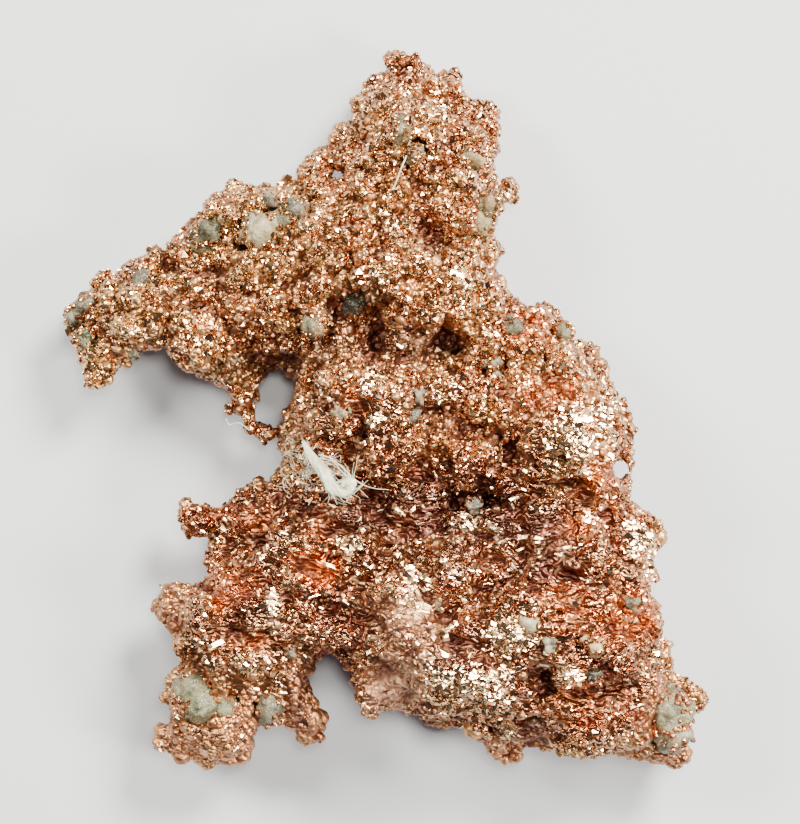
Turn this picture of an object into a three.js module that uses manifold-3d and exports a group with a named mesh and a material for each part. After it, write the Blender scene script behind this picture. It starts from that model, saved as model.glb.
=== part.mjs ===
// A native copper nugget, 50 mm long, lying on its back: a knobbly, branching mass of intergrown copper
// with grains of pale quartz grown into its pockets and a tuft of lint caught on its left side.
//
// Millimetres, +Z up, +Y along the nugget's length towards its head. The origin is in the middle of the
// nugget's footprint, on the surface that it rests on.
//
// The copper is one skin drawn round a field: an outline seen from above, a height over each point of it,
// knobs grown over it and hollows cut into it, with more knobs standing out round its rim. The quartz
// grains and the lint sit in pockets cut to their own shape.

import * as THREE from "three";
import { mergeVertices } from "three/addons/utils/BufferGeometryUtils.js";
import Module from "manifold-3d";

const wasm = await Module();
wasm.setup();

// Driving dimensions of the copper mass
const rimLevel = 3.8; // height of the nugget's widest line above the surface it rests on
const rimWander = 0.9; // how far that line strays up and down along the rim
const rimReach = 5.0; // how far in from the outline the top and the underside stop curving
const plainTop = 8.0; // height of the top where no swell raises or lowers it
const plainUnder = 0.9; // height of the underside where no foot carries it
const netStep = new THREE.Vector3(1.76, 1.76, 1.95); // spacing of the samples that the skin is drawn from
const fit = 0.3; // clear space kept between the copper and what lies in its pockets

// Driving dimensions of the knobs that the copper grew in
const knobSpacing = 2.3;
const knobRadius = { least: 1.0, most: 2.0 };
const knobBlend = 0.35; // how softly a knob runs into the mass
const knobSeed = 11;
const rimKnobRadius = { least: 0.75, most: 1.15 };
const rimKnobTurn = 30; // how sharply the outline turns, in degrees, where a knob stands on it

// The outline from above, clockwise from the top of the head
const outline = [
  [0.3, 24.8], [1.0, 24.6], [2.3, 24.9], [3.3, 24.2], [4.0, 23.4], [5.0, 23.3], [5.4, 22.0], [6.2, 21.5],
  [7.5, 20.2], [7.9, 18.6], [7.2, 17.8], [7.5, 16.1], [8.6, 15.6], [9.1, 14.6], [7.8, 13.7], [7.2, 12.3],
  [7.3, 11.3], [8.1, 10.8], [7.4, 10.2], [7.6, 9.1], [8.2, 8.4], [7.9, 7.0], [8.5, 7.8], [9.9, 7.5],
  [11.4, 7.2], [12.1, 6.3], [12.7, 5.4], [12.1, 4.6], [13.6, 4.9], [14.4, 4.1], [15.5, 3.1], [15.9, 1.8],
  [16.1, 1.0], [17.1, 0.5], [16.9, -1.2], [17.4, -2.4], [17.4, -3.8], [16.8, -4.9], [17.0, -5.8],
  [16.1, -7.0], [17.1, -7.4], [17.8, -7.8], [18.4, -7.1], [19.2, -8.0], [19.7, -8.7], [18.8, -10.0],
  [18.5, -12.3], [18.4, -15.0], [19.1, -16.0], [19.0, -17.0], [20.0, -18.1], [21.1, -18.2], [21.6, -19.5],
  [22.2, -20.3], [21.4, -21.5], [20.7, -22.6], [21.2, -23.9], [20.2, -24.9], [18.4, -25.0], [16.8, -24.4],
  [15.2, -23.9], [13.7, -24.1], [12.5, -23.4], [11.2, -24.1], [9.3, -23.5], [8.8, -24.5], [7.6, -24.3],
  [6.6, -22.8], [4.5, -22.4], [2.8, -22.0], [1.4, -21.2], [0.0, -20.9], [-1.3, -21.5], [-1.9, -20.0],
  [-2.7, -18.5], [-2.6, -17.2], [-3.5, -16.6], [-5.2, -17.1], [-5.2, -18.0], [-4.8, -19.5], [-3.6, -21.5],
  [-4.2, -23.1], [-6.0, -23.5], [-6.9, -22.2], [-7.3, -21.5], [-8.7, -22.0], [-9.4, -23.7], [-10.9, -24.8],
  [-12.4, -25.0], [-14.4, -24.1], [-16.2, -23.8], [-16.3, -22.3], [-14.4, -21.4], [-15.4, -19.8],
  [-15.1, -18.5], [-14.2, -18.0], [-14.3, -17.0], [-13.9, -15.6], [-14.9, -15.6], [-15.8, -13.6],
  [-15.4, -12.2], [-14.6, -11.8], [-14.0, -12.3], [-12.9, -11.4], [-11.4, -10.4], [-13.0, -9.3],
  [-13.8, -8.1], [-14.4, -7.2], [-14.0, -6.0], [-12.8, -6.8], [-11.2, -6.6], [-9.9, -5.5], [-9.1, -4.5],
  [-8.2, -4.7], [-7.3, -3.8], [-6.8, -2.6], [-7.6, -1.2], [-7.0, 0.0], [-6.1, 1.4], [-6.3, 2.3],
  [-8.4, 2.5], [-8.6, 1.0], [-8.3, -0.4], [-8.0, -1.5], [-8.9, -2.1], [-9.9, -0.9], [-11.3, -0.2],
  [-10.8, 0.8], [-12.1, 1.7], [-13.8, 2.4], [-14.6, 3.0], [-15.0, 4.2], [-16.2, 3.9], [-17.5, 3.6],
  [-18.6, 2.4], [-19.5, 1.4], [-20.5, 1.2], [-21.0, 2.9], [-21.9, 4.4], [-22.1, 5.8], [-20.9, 7.1],
  [-20.6, 8.6], [-19.6, 9.7], [-17.3, 9.9], [-16.1, 10.6], [-15.5, 11.5], [-15.0, 10.3], [-14.3, 11.0],
  [-14.1, 12.6], [-12.9, 13.0], [-12.4, 13.7], [-11.8, 14.9], [-10.6, 15.8], [-9.2, 15.5], [-8.2, 16.0],
  [-7.0, 16.4], [-6.6, 15.5], [-6.0, 16.4], [-5.4, 17.7], [-4.4, 18.2], [-3.2, 18.3], [-3.6, 19.5],
  [-2.4, 20.5], [-2.2, 21.8], [-0.8, 23.4],
];

// Slender tips of the rim: middle x, y; radius
const tips = [
  [-9.7, -0.5, 1.1], [-9.1, -1.4, 0.9], [-21.2, 3.8, 0.8], [-13.3, -8.2, 0.9], [-13.9, -23.7, 0.9], [-11.0, -24.0, 0.8],
  [3.3, -21.8, 0.8], [18.0, -23.8, 1.1], [17.0, -1.6, 0.8],
];

// Gaps that go right through: beside the neck, inside the small ring on the right shoulder, and between
// the body and the tongue that hangs from the arm
const gaps = [
  [[-4.1, 15.7], [-3.9, 16.4], [-3.3, 17.0], [-2.7, 16.2], [-3.0, 15.6]],
  [[15.2, -3.8], [15.4, -4.8], [16.1, -5.2], [16.6, -4.5], [16.4, -3.4], [15.8, -3.1]],
  [[-8.2, 2.1], [-8.4, 0.6], [-7.9, -0.9], [-7.9, -1.9], [-7.4, -1.9], [-7.3, -0.9], [-6.5, 0.8], [-6.3, 2.0]],
];

// Broad swells of the top: middle x, y; half-widths across and along; turn in degrees; height added
const swells = [
  [2.5, 9.0, 7.0, 5.0, 0, 3.4], // shoulders
  [-1.5, 0.0, 6.0, 4.5, 0, 4.2], // chest
  [13.0, -1.0, 4.5, 6.0, 10, 4.4], // right shoulder
  [4.0, -15.5, 8.0, 7.0, 0, 6.2], // skirt
  [15.0, -14.5, 4.2, 7.5, 0, 4.6], // right side of the skirt
  [3.0, 19.0, 5.0, 4.5, 0, 1.2], // head
  [2.0, 24.5, 4.0, 2.5, 0, -1.8], // crown of the head, lower
  [4.0, -6.3, 8.5, 1.8, -6, -3.2], // valley above the skirt
  [-11.5, -10.4, 4.0, 1.0, 0, -2.2], // notch between the two left fins
  [-9.5, -7.0, 5.0, 1.8, 12, 0.8], // upper fin
  [-9.5, -13.0, 5.0, 2.0, -5, 1.2], // lower fin
  [-11.0, -21.5, 5.0, 3.5, 0, -1.0], // left foot
  [20.0, -21.0, 2.8, 4.0, 0, -1.8], // right foot
  [-13.0, 8.0, 7.0, 3.0, 15, 0.9], // arm
  [-20.5, 5.0, 2.5, 4.0, 0, -1.6], // hand at the end of the arm
  [6.0, 12.5, 1.6, 4.0, 0, 1.2], // ridge down the right of the neck
];

// Hollows in the top: middle x, y; half-widths across and along; turn in degrees; depth
const hollows = [
  [10.1, -18.2, 1.0, 3.0, 2, 3.2], // furrow down the skirt
  [15.0, -19.6, 1.7, 1.2, -10, 2.6], // red pit in the skirt
  [-2.1, 7.2, 2.2, 1.2, 12, 3.0], // dark pocket below the neck
  [-0.9, 5.3, 0.8, 1.0, 0, 2.2], // small pit beside it
  [3.4, 4.4, 2.8, 1.4, 14, 2.6], // red hollow under the shoulders
  [3.4, 11.3, 1.9, 1.5, -20, 2.0], // red hollow on the neck
  [4.0, -1.2, 2.0, 1.2, 0, 2.2], // golden hollow on the chest
  [-8.8, -8.0, 1.6, 1.3, 30, 2.4], // pit between the fins
  [-7.6, 3.2, 4.4, 1.0, 4, 2.6], // shaded underside of the arm
  [8.6, -6.4, 3.2, 1.0, -12, 2.0], // cleft right of the valley
  [14.6, -8.6, 1.4, 1.6, 0, 1.8], // notch in the right side
  [-1.2, -11.8, 1.2, 2.4, 24, 1.8], // crease at the waist
  [6.6, -12.0, 1.4, 2.6, -20, 1.6], // crease in the skirt
  [8.6, 0.6, 1.2, 2.4, -30, 1.8], // crease between the chest and the right shoulder
  [-13.4, 7.2, 2.0, 1.1, -15, 1.6], // dip in the arm
];

// Hollows under the lip at the foot of the skirt: middle x, y, z; half-sizes; turn in degrees
const undercuts = [
  [9.4, -24.6, 8.6, 3.4, 3.0, 3.4, 4],
  [14.0, -25.4, 8.6, 3.4, 3.0, 3.2, 8],
  [3.4, -23.4, 8.2, 4.4, 2.8, 3.2, -10],
];

// Feet that carry the nugget: middle x, y
const feet = [[-17.5, 6.5], [3.0, 19.0], [13.0, -2.5], [17.5, -20.5], [-11.5, -21.0], [3.0, -14.0], [-3.0, 5.5]];
const footRadius = 2.6;
const footDepth = 1.9;

// Quartz grains: name, then the lobes that make up one grain, each as middle x, y; how far its middle is
// below the copper round the grain; three half-sizes; turn in degrees
const quartz = {
  quartz_arm_large: [[-8.4, 12.0, 0.5, 1.4, 1.2, 1.2, 20], [-7.5, 12.7, 0.4, 1.1, 0.7, 0.9, 10]],
  quartz_arm_upper: [[-6.2, 13.6, 0.5, 1.2, 0.8, 1.1, -45]],
  quartz_arm_edge: [[-12.0, 12.0, 0.6, 1.5, 0.8, 1.2, 40]],
  quartz_wrist: [[-16.8, 8.7, 0.5, 0.75, 0.85, 1.0, 0]],
  quartz_hand_upper: [[-20.9, 6.9, 0.2, 1.5, 0.75, 1.2, 42]],
  quartz_hand_lower: [[-20.8, 4.7, 0.5, 0.75, 0.9, 1.0, 15]],
  quartz_arm_pocket: [[-4.9, 5.4, 0.5, 0.7, 0.8, 1.0, 0]],
  quartz_dark_pocket: [[-2.2, 7.0, 0.1, 1.3, 0.9, 1.1, 18]],
  quartz_head: [[1.0, 19.0, 0.5, 0.65, 0.95, 1.0, -10]],
  quartz_throat: [[1.9, 17.1, 0.5, 0.5, 0.7, 0.9, -10]],
  quartz_neck_upper: [[5.8, 17.0, 0.5, 0.9, 0.55, 0.9, -10]],
  quartz_neck_edge: [[7.0, 13.9, 0.3, 0.85, 1.0, 1.3, 0], [6.3, 12.8, 0.7, 1.0, 1.0, 1.4, 0]],
  quartz_shoulder: [[8.7, 5.5, 0.5, 0.85, 0.75, 1.1, -20]],
  quartz_shoulder_tip: [[12.0, 5.3, 0.3, 0.65, 0.7, 1.0, 0]],
  quartz_chest_right: [[7.2, 3.1, 0.5, 0.75, 0.6, 0.9, 15]],
  quartz_skirt_middle: [[9.6, -14.2, 0.5, 0.6, 0.9, 1.0, -10]],
  quartz_skirt_right: [[14.0, -15.8, 0.5, 1.2, 0.5, 0.9, -28]],
  quartz_foot_right: [[19.3, -20.8, 0.5, 1.3, 1.6, 1.5, 0], [19.5, -22.4, 0.5, 1.1, 0.9, 1.2, 0]],
  quartz_foot_left: [
    [-13.4, -19.2, 0.5, 1.1, 1.1, 1.2, 0],
    [-12.7, -20.4, 0.5, 1.1, 1.2, 1.2, 0],
    [-11.1, -20.3, 0.5, 0.9, 0.9, 1.1, 30],
  ],
  quartz_foot_small: [[-8.0, -20.4, 0.5, 0.7, 1.2, 1.1, 5]],
};

// The lint's backbone, from its loose end at the edge to its curl, as x, y and height over the copper
const lintPath = [[-5.8, -2.6, 0.3], [-5.2, -3.4, 0.4], [-4.6, -4.4, 0.4], [-3.8, -5.3, 0.4], [-2.9, -5.4, 0.5]];
const lintRadius = 0.55;

const colours = { copper: 0xb8683f, quartz: 0xb9bab0, lint: 0xdcdad0 };

// Geometry helpers

function closedCurve(points) {
  const [first, ...rest] = points.map(([x, y]) => new THREE.Vector2(x, y));
  const shape = new THREE.Shape();
  shape.moveTo(first.x, first.y);
  shape.splineThru([...rest, first]);
  return shape;
}

// Distance from (x, y) to a closed line, more than 0 inside it
function depthInside(line, x, y) {
  let nearest = Infinity;
  let inside = false;
  for (let i = 0, j = line.length - 1; i < line.length; j = i++) {
    const a = line[j];
    const b = line[i];
    const dx = b.x - a.x;
    const dy = b.y - a.y;
    const along = ((x - a.x) * dx + (y - a.y) * dy) / (dx * dx + dy * dy || 1);
    const t = THREE.MathUtils.clamp(along, 0, 1);
    nearest = Math.min(nearest, Math.hypot(x - a.x - t * dx, y - a.y - t * dy));
    if (b.y > y !== a.y > y && x < ((a.x - b.x) * (y - b.y)) / (a.y - b.y) + b.x) inside = !inside;
  }
  return inside ? nearest : -nearest;
}

// The point (x, y) as seen from a middle turned by some degrees
function turned(x, y, middleX, middleY, degrees) {
  const angle = THREE.MathUtils.degToRad(degrees);
  const dx = x - middleX;
  const dy = y - middleY;
  return [dx * Math.cos(angle) + dy * Math.sin(angle), dy * Math.cos(angle) - dx * Math.sin(angle)];
}

// A smooth, never-repeating lumpiness between about -1 and 1
function lumpiness(x, y, z, size) {
  const [u, v, w] = [x / size, y / size, z / size];
  const first = Math.sin(u) * Math.cos(v) + Math.sin(v) * Math.cos(w) + Math.sin(w) * Math.cos(u);
  const [p, q, r] = [1.7 * u + 0.8 * v, 1.6 * v - 0.9 * w, 1.8 * w + 0.7 * u];
  const second = Math.sin(p) * Math.cos(q) + Math.sin(q) * Math.cos(r) + Math.sin(r) * Math.cos(p);
  return 0.45 * first + 0.3 * second;
}

function topHeight(x, y) {
  let height = plainTop;
  for (const [middleX, middleY, across, along, degrees, rise] of swells) {
    const [u, v] = turned(x, y, middleX, middleY, degrees);
    height += rise * Math.exp(-((u / across) ** 2) - (v / along) ** 2);
  }
  for (const [middleX, middleY, across, along, degrees, depth] of hollows) {
    const [u, v] = turned(x, y, middleX, middleY, degrees);
    height -= depth * Math.exp(-(((u / across) ** 2 + (v / along) ** 2) ** 1.5));
  }
  return height;
}

function underHeight(x, y) {
  let height = plainUnder;
  for (const [footX, footY] of feet) {
    height -= footDepth * Math.exp(-(((x - footX) ** 2 + (y - footY) ** 2) / footRadius ** 2));
  }
  return height;
}

const outlinePoints = closedCurve(outline).getPoints(2);
const lumpSize = 0.95;
const lumpHeight = 0.8;

function rimHeight(x, y) {
  return rimLevel + rimWander * Math.sin(x / 4.5 + 1) * Math.cos(y / 6);
}

// One knob in each square of a grid laid over the nugget, moved about within its square, half sunk into
// the top of the mass or, for about one in three, into its underside
function growKnobs() {
  THREE.MathUtils.seededRandom(knobSeed);
  const random = () => THREE.MathUtils.seededRandom();
  const grown = [];
  for (let gridY = -26; gridY < 26; gridY += knobSpacing) {
    for (let gridX = -23; gridX < 23; gridX += knobSpacing) {
      const x = gridX + knobSpacing * random();
      const y = gridY + knobSpacing * random();
      const radius = THREE.MathUtils.lerp(knobRadius.least, knobRadius.most, random() ** 1.5);
      const below = random() < 0.34;
      const depth = depthInside(outlinePoints, x, y);
      if (depth < 0.5 * radius) continue;
      const rim = rimHeight(x, y);
      const bulge = Math.sqrt(1 - ((rimReach - Math.min(depth, rimReach)) / rimReach) ** 2);
      const z = below ? rim + (underHeight(x, y) - rim) * bulge + 0.9 * radius : rim + (topHeight(x, y) - rim) * bulge;
      grown.push([x, y, z - 0.1 * radius, radius]);
    }
  }
  return grown;
}

const knobs = growKnobs();

// More than 0 inside the copper, and about the distance to its skin in millimetres
function copperField(x, y, z, depth) {
  const rim = rimHeight(x, y);
  const reach = (rimReach - Math.min(depth, rimReach)) / rimReach;
  const rise = z > rim ? topHeight(x, y) - rim : rim - underHeight(x, y);
  let field = (1 - Math.hypot(reach, (z - rim) / rise)) * rise;
  field += lumpHeight * lumpiness(x, y, z, lumpSize) * THREE.MathUtils.smoothstep(depth, 0, 2);
  for (const [knobX, knobY, knobZ, radius] of knobs) {
    const knob = radius - Math.hypot(x - knobX, y - knobY, z - knobZ);
    const blend = Math.max(knobBlend - Math.abs(field - knob), 0) / knobBlend;
    field = Math.max(field, knob) + (blend ** 2 * knobBlend) / 4;
  }
  for (const [middleX, middleY, middleZ, sizeX, sizeY, sizeZ, degrees] of undercuts) {
    const [u, v] = turned(x, y, middleX, middleY, degrees);
    const away = Math.hypot(u / sizeX, v / sizeY, (z - middleZ) / sizeZ) - 1;
    field = Math.min(field, away * Math.min(sizeX, sizeY, sizeZ));
  }
  return field;
}

// Height of the copper's top over (x, y), or of its rim where there is no copper under the point
function copperTop(x, y) {
  const depth = depthInside(outlinePoints, x, y);
  for (let z = 18; z > rimLevel; z -= 0.05) if (copperField(x, y, z, depth) > 0) return z;
  return rimLevel;
}

// Draws a skin round a field by surface nets: one point in each cell that the skin crosses, and a quad
// across each edge of the grid whose ends lie on different sides.
function skinOf(field, low, high, step) {
  const size = high.clone().sub(low).divide(step).ceil().addScalar(1);
  const [nx, ny, nz] = size.toArray();
  const strides = [1, nx, nx * ny];
  const index = (i, j, k) => i + nx * j + nx * ny * k;
  const place = (i, j, k) => new THREE.Vector3(i, j, k).multiply(step).add(low);
  const values = new Float32Array(nx * ny * nz);
  for (let j = 0; j < ny; j++) {
    for (let i = 0; i < nx; i++) {
      const { x, y } = place(i, j, 0);
      const depth = depthInside(outlinePoints, x, y);
      for (let k = 0; k < nz; k++) {
        const value = field(x, y, place(i, j, k).z, depth);
        values[index(i, j, k)] = Math.abs(value) < 0.03 ? 0.03 * (Math.sign(value) || 1) : value;
      }
    }
  }
  fillPinches(values, nx, ny, nz);

  const corners = [0, 1, 2, 3, 4, 5, 6, 7].map((c) => [c & 1, (c >> 1) & 1, c >> 2]);
  const positions = [];
  const pointOfCell = new Int32Array(values.length).fill(-1);
  for (let k = 0; k < nz - 1; k++) {
    for (let j = 0; j < ny - 1; j++) {
      for (let i = 0; i < nx - 1; i++) {
        const cell = index(i, j, k);
        const at = corners.map(([a, b, c]) => values[index(i + a, j + b, k + c)]);
        const sum = new THREE.Vector3();
        let crossings = 0;
        for (let c = 0; c < 8; c++) {
          for (let axis = 0; axis < 3; axis++) {
            const d = c | (1 << axis);
            if (d === c || at[c] > 0 === at[d] > 0) continue;
            const crossing = new THREE.Vector3(...corners[c]);
            crossing.setComponent(axis, at[c] / (at[c] - at[d]));
            sum.add(crossing);
            crossings++;
          }
        }
        if (!crossings) continue;
        pointOfCell[cell] = positions.length / 3;
        positions.push(...sum.divideScalar(crossings).add(new THREE.Vector3(i, j, k)).multiply(step).add(low));
      }
    }
  }

  const triangles = [];
  for (let k = 1; k < nz - 1; k++) {
    for (let j = 1; j < ny - 1; j++) {
      for (let i = 1; i < nx - 1; i++) {
        const here = index(i, j, k);
        for (let axis = 0; axis < 3; axis++) {
          const within = values[here] > 0;
          if (within === values[here + strides[axis]] > 0) continue;
          const u = strides[(axis + 1) % 3];
          const v = strides[(axis + 2) % 3];
          const quad = [here - u - v, here - v, here, here - u].map((cell) => pointOfCell[cell]);
          if (!within) quad.reverse();
          const [a, b, c, d] = quad;
          triangles.push(a, b, c, a, c, d);
        }
      }
    }
  }
  const geometry = new THREE.BufferGeometry();
  geometry.setAttribute("position", new THREE.Float32BufferAttribute(positions, 3));
  geometry.setIndex(triangles);
  return geometry;
}

// Fills samples where two parts of the skin would meet in a single edge or point, so that it stays one sheet
function fillPinches(values, nx, ny, nz) {
  const strides = [1, nx, nx * ny];
  const filled = 0.05;
  const isOne = (set) => {
    const start = set.findIndex(Boolean);
    if (start < 0) return true;
    const seen = new Set([start]);
    for (const corner of seen) for (const bit of [1, 2, 4]) if (set[corner ^ bit]) seen.add(corner ^ bit);
    return seen.size === set.filter(Boolean).length;
  };
  const offsets = [0, 1, 2, 3, 4, 5, 6, 7].map((c) => (c & 1) + ((c >> 1) & 1) * nx + (c >> 2) * nx * ny);
  for (let changed = true; changed; ) {
    changed = false;
    for (let k = 0; k < nz - 1; k++) {
      for (let j = 0; j < ny - 1; j++) {
        for (let i = 0; i < nx - 1; i++) {
          const cell = i + nx * j + nx * ny * k;
          const crossed = [0, 1, 2].some((axis) => {
            const u = strides[(axis + 1) % 3];
            const v = strides[(axis + 2) % 3];
            const [a, b, c, d] = [cell, cell + u, cell + u + v, cell + v].map((at) => values[at] > 0);
            return a === c && b === d && a !== b;
          });
          const inside = offsets.map((offset) => values[cell + offset] > 0);
          const outside = inside.map((within) => !within);
          if (!crossed && isOne(inside) && isOne(outside)) continue;
          const open = offsets.map((offset) => cell + offset).filter((at) => values[at] <= 0);
          values[open.reduce((best, at) => (values[at] > values[best] ? at : best))] = filled;
          changed = true;
        }
      }
    }
  }
}

function solidOf(geometry) {
  const bare = geometry.index ? geometry.toNonIndexed() : geometry.clone();
  bare.deleteAttribute("normal");
  bare.deleteAttribute("uv");
  const merged = mergeVertices(bare, 1e-4);
  const vertProperties = new Float32Array(merged.attributes.position.array);
  const triVerts = new Uint32Array(merged.index.array);
  return new wasm.Manifold(new wasm.Mesh({ numProp: 3, vertProperties, triVerts }));
}

function geometryOf(solid) {
  const { vertProperties, triVerts, numProp } = solid.getMesh();
  const positions = [];
  for (let i = 0; i < vertProperties.length; i += numProp) positions.push(...vertProperties.slice(i, i + 3));
  const geometry = new THREE.BufferGeometry();
  geometry.setAttribute("position", new THREE.Float32BufferAttribute(positions, 3));
  geometry.setIndex([...triVerts]);
  geometry.computeVertexNormals();
  return geometry;
}

function rimKnob(x, y, radius, turn) {
  const knob = new THREE.IcosahedronGeometry(radius, 0).rotateZ(turn).rotateX(2 * turn);
  return solidOf(knob.translate(x, y, rimHeight(x, y) + THREE.MathUtils.seededRandom()));
}

// A faceted knob on each point of the outline that sticks out, and on each slender tip
function addRimKnobs(solid) {
  const corner = new THREE.Vector2();
  const before = new THREE.Vector2();
  const after = new THREE.Vector2();
  let knobbed = solid;
  outline.forEach((point, i) => {
    corner.fromArray(point);
    before.fromArray(outline.at(i - 1)).sub(corner).normalize();
    after.fromArray(outline[(i + 1) % outline.length]).sub(corner).normalize();
    const turn = THREE.MathUtils.radToDeg(Math.asin(before.cross(after)));
    if (turn < rimKnobTurn && before.dot(after) < 0) return;
    if (turn < 0) return;
    const radius = THREE.MathUtils.lerp(rimKnobRadius.least, rimKnobRadius.most, THREE.MathUtils.seededRandom());
    const centre = corner.add(before.add(after).setLength(0.7 * radius));
    knobbed = knobbed.add(rimKnob(centre.x, centre.y, radius, i));
  });
  tips.forEach(([x, y, radius], i) => {
    knobbed = knobbed.add(rimKnob(x, y, radius, i));
  });
  return knobbed;
}

function largestPiece(solid) {
  return solid.decompose().reduce((best, piece) => (piece.volume() > best.volume() ? piece : best));
}

// One rough lobe of quartz: a ball of flat faces, pushed in and out a little, stretched and turned
function quartzLobe([x, y, sink, sizeX, sizeY, sizeZ, degrees], level, extra) {
  const lobe = new THREE.IcosahedronGeometry(1, sizeX * sizeY > 1.25 ? 1 : 0);
  const corner = new THREE.Vector3();
  const position = lobe.attributes.position;
  for (let i = 0; i < position.count; i++) {
    corner.fromBufferAttribute(position, i);
    corner.multiplyScalar(1 + 0.1 * Math.sin(5 * corner.x + 3 * x) * Math.cos(4 * corner.y + 2 * y));
    position.setXYZ(i, ...corner);
  }
  lobe.scale(sizeX + extra, sizeY + extra, sizeZ + extra);
  lobe.rotateZ(THREE.MathUtils.degToRad(degrees));
  return solidOf(lobe.translate(x, y, level - sink));
}

function quartzGrain(lobes, extra = 0) {
  const level = lobes.reduce((sum, [x, y]) => sum + copperTop(x, y), 0) / lobes.length;
  return lobes.map((lobe) => quartzLobe(lobe, level, extra)).reduce((grain, lobe) => grain.add(lobe));
}

function lintTuft(extra = 0) {
  const radius = lintRadius + extra;
  const section = new THREE.Shape();
  section.absarc(0, 0, radius, 0, 2 * Math.PI);
  const points = lintPath.map(([x, y, lift]) => new THREE.Vector3(x, y, copperTop(x, y) + lift));
  if (extra) {
    const stretch = (end, next) => end.clone().add(end.clone().sub(next).setLength(extra));
    points[0] = stretch(points[0], points[1]);
    points[points.length - 1] = stretch(points.at(-1), points.at(-2));
  }
  const path = new THREE.CatmullRomCurve3(points);
  return solidOf(new THREE.ExtrudeGeometry(section, { extrudePath: path, steps: 10, curveSegments: 3 }));
}

// The copper: its skin, cut flat at its feet, with the through gaps and the pockets cut out

function gapCutter(points) {
  const cutter = new THREE.ExtrudeGeometry(closedCurve(points), { depth: 30, bevelEnabled: false, curveSegments: 1 });
  return solidOf(cutter.translate(0, 0, -5));
}

function underCutter() {
  return solidOf(new THREE.BoxGeometry(60, 60, 10).translate(0, 0, -5));
}

function copperMass() {
  const low = new THREE.Vector3(-24, -27, -4.0);
  const high = new THREE.Vector3(24, 27, 18.2);
  let copper = solidOf(skinOf(copperField, low, high, netStep));
  copper = addRimKnobs(copper).subtract(underCutter());
  for (const gap of gaps) copper = copper.subtract(gapCutter(gap));
  for (const lobes of Object.values(quartz)) copper = copper.subtract(quartzGrain(lobes, fit));
  copper = copper.subtract(lintTuft(fit));
  return largestPiece(copper);
}

// The nugget as a scene graph

function piece(name, solid, material) {
  const mesh = new THREE.Mesh(geometryOf(solid), material);
  mesh.name = name;
  return mesh;
}

const copperMaterial = new THREE.MeshStandardMaterial({ color: colours.copper, roughness: 0.35, metalness: 1 });
const quartzMaterial = new THREE.MeshStandardMaterial({ color: colours.quartz, roughness: 0.45, metalness: 0 });
const lintMaterial = new THREE.MeshStandardMaterial({ color: colours.lint, roughness: 0.95, metalness: 0 });

const nugget = new THREE.Group();
nugget.name = "native_copper_nugget";
nugget.add(piece("copper_mass", copperMass(), copperMaterial));
for (const [name, lobes] of Object.entries(quartz)) {
  nugget.add(piece(name, quartzGrain(lobes), quartzMaterial));
}
nugget.add(piece("lint_tuft", lintTuft(), lintMaterial));

// Puts the origin in the middle of the footprint
const middle = new THREE.Box3().setFromObject(nugget).getCenter(new THREE.Vector3());
nugget.position.set(-middle.x, -middle.y, 0);

export default nugget;
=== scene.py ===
# The looks of a native copper nugget: crystals of copper over a crumpled mass, milky quartz grown into its
# pockets, a twist of lint and a few hairs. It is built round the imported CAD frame. Shapes are worked out in
# millimetres, and put() places them in the scene in metres.

import math
from itertools import product

import bpy
import numpy as np
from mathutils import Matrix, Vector


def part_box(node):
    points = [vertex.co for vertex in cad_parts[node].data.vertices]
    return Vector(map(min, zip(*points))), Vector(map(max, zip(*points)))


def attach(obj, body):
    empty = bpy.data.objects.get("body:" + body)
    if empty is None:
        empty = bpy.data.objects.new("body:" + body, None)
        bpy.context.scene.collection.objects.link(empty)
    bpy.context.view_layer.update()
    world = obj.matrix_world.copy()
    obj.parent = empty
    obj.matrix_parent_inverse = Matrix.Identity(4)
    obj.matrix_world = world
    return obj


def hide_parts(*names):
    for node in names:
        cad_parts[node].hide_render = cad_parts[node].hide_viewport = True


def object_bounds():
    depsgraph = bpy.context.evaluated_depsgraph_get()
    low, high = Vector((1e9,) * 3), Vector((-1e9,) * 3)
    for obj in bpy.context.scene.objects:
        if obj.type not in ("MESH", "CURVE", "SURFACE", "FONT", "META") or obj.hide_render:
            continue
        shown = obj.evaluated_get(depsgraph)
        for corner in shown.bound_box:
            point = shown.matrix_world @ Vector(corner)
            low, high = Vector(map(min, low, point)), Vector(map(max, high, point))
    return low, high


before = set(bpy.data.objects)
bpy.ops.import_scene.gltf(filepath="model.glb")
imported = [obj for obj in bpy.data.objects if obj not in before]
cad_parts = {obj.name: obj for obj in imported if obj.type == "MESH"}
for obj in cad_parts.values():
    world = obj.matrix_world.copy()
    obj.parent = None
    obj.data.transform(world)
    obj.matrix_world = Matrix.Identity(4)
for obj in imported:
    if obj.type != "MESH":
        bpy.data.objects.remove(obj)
cad_low, cad_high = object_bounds()

MM = 0.001
SEED = 17
rng = np.random.default_rng(SEED)

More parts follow.
